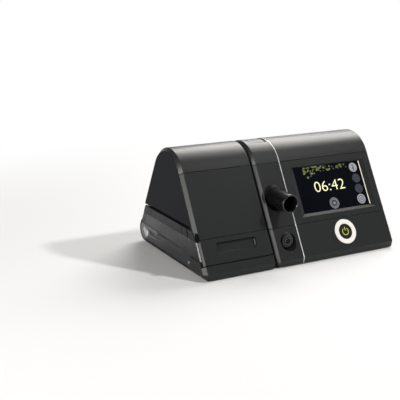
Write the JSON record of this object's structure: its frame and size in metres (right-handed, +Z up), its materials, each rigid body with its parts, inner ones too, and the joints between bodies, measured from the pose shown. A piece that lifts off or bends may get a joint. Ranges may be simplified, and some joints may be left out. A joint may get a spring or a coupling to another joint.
{
  "type": "cpap machine",
  "caption": "Bedside breathing therapy machine with touch display, power button, hose outlet tube and a docked heated humidifier with hinged lid and sliding water chamber.",
  "frame": {"origin": "on the table under the middle of the footprint", "axes": "+Z up, +X along the machine's width towards the display end, -Y out of the front face"},
  "size_m": [0.2648, 0.1749, 0.1323],
  "materials": {
    "casing_plastic": "satin",
    "dark_plastic": "satin",
    "gloss_black": "gloss",
    "silver_trim": "satin",
    "display_glass": "gloss",
    "white_plastic": "satin",
    "smoky_clear": "gloss",
    "tank_top": "satin",
    "rubber": "matte",
    "steel": "satin",
    "sheet_metal": "satin",
    "circuit_board": "satin",
    "duct_plastic": "matte",
    "wheel_plastic": "satin",
    "foam": "matte",
    "filter_felt": "matte",
    "card_plastic": "satin"
  },
  "bodies": {
    "housing": {"unit_base": "dark_plastic", "top_cover": "casing_plastic", "display_panel": "casing_plastic", "lower_front_panel": "casing_plastic", "port_top_cover": "casing_plastic", "port_upper_panel": "casing_plastic", "port_lower_panel": "casing_plastic", "trim_strip": "silver_trim", "rear_cover": "casing_plastic", "right_side_plate": "dark_plastic", "docking_wall": "dark_plastic", "display_glass": "display_glass", "power_ring": "white_plastic", "outlet_tube": "gloss_black", "outlet_collar": "gloss_black", "hose_socket": "gloss_black", "card_slot": "dark_plastic", "power_inlet": "gloss_black", "unit_feet": "rubber", "unit_screws": "steel", "chassis_plate": "sheet_metal", "display_module": "sheet_metal", "main_board": "circuit_board", "power_switch": "wheel_plastic", "blower_housing": "duct_plastic", "blower_motor": "sheet_metal", "blower_mounts": "rubber", "supply_duct": "duct_plastic", "return_duct": "duct_plastic", "flow_sensor": "duct_plastic", "silencer_foam": "foam", "filter_pad": "filter_felt", "latch_spring": "steel", "docking_connector": "dark_plastic", "power_board": "circuit_board", "humidifier_base": "dark_plastic", "humidifier_docking_wall": "dark_plastic", "lid_hinge_pin": "steel", "door_hinge_pin": "steel", "heater_plate": "sheet_metal", "heater_board": "circuit_board", "docking_seals": "rubber", "humidifier_feet": "rubber", "humidifier_screws": "steel"},
    "lid": {"lid_cap": "casing_plastic", "lid_front_panel": "casing_plastic", "lid_handle_panel": "casing_plastic", "lid_cheek": "dark_plastic"},
    "chamber": {"water_tank": "smoky_clear", "tank_lid": "tank_top", "tank_seal": "rubber", "tank_heat_plate": "sheet_metal"},
    "release": {"release_button": "casing_plastic"},
    "latch": {"latch_hook": "duct_plastic"},
    "power_key": {"power_button": "dark_plastic"},
    "filter_cover": {"filter_door": "casing_plastic"},
    "card": {"memory_card": "card_plastic"},
    "rotor": {"impeller": "wheel_plastic"}
  },
  "joints": [
    {"name": "lid_hinge", "type": "hinge", "parent": "housing", "child": "lid", "pos_m": [-0.08685, 0.06665, 0.052], "axis": [-1, 0, 0], "range_deg": [0, 75]},
    {"name": "chamber_slide", "type": "slide", "parent": "housing", "child": "chamber", "axis": [-1, 0, 0], "range_m": [0, 0.088]},
    {"name": "release_press", "type": "slide", "parent": "housing", "child": "release", "axis": [0, 0, -1], "range_m": [0, 0.003], "stiffness_N_per_m": 300, "springref_m": -0.002},
    {"name": "latch_slide", "type": "slide", "parent": "housing", "child": "latch", "axis": [0, 0, -1], "range_m": [0, 0.003], "stiffness_N_per_m": 300, "springref_m": -0.002, "deforming": ["latch_spring"]},
    {"name": "power_press", "type": "slide", "parent": "housing", "child": "power_key", "axis": [0, 0.8704, -0.4924], "range_m": [0, 0.0012], "stiffness_N_per_m": 400, "springref_m": -0.001},
    {"name": "filter_cover_hinge", "type": "hinge", "parent": "housing", "child": "filter_cover", "pos_m": [0.08445, 0.06257, 0.06432], "axis": [-1, 0, 0], "range_deg": [0, 90]},
    {"name": "card_slide", "type": "slide", "parent": "housing", "child": "card", "axis": [1, 0, 0], "range_m": [0, 0.026]},
    {"name": "impeller_spin", "type": "hinge", "parent": "housing", "child": "rotor", "pos_m": [0.0275, 0.02527, 0.04], "axis": [0, 0, 1], "continuous": true}
  ],
  "couplings": [
    {"joint": "latch_slide", "follows": "release_press", "ratio": 1}
  ]
}
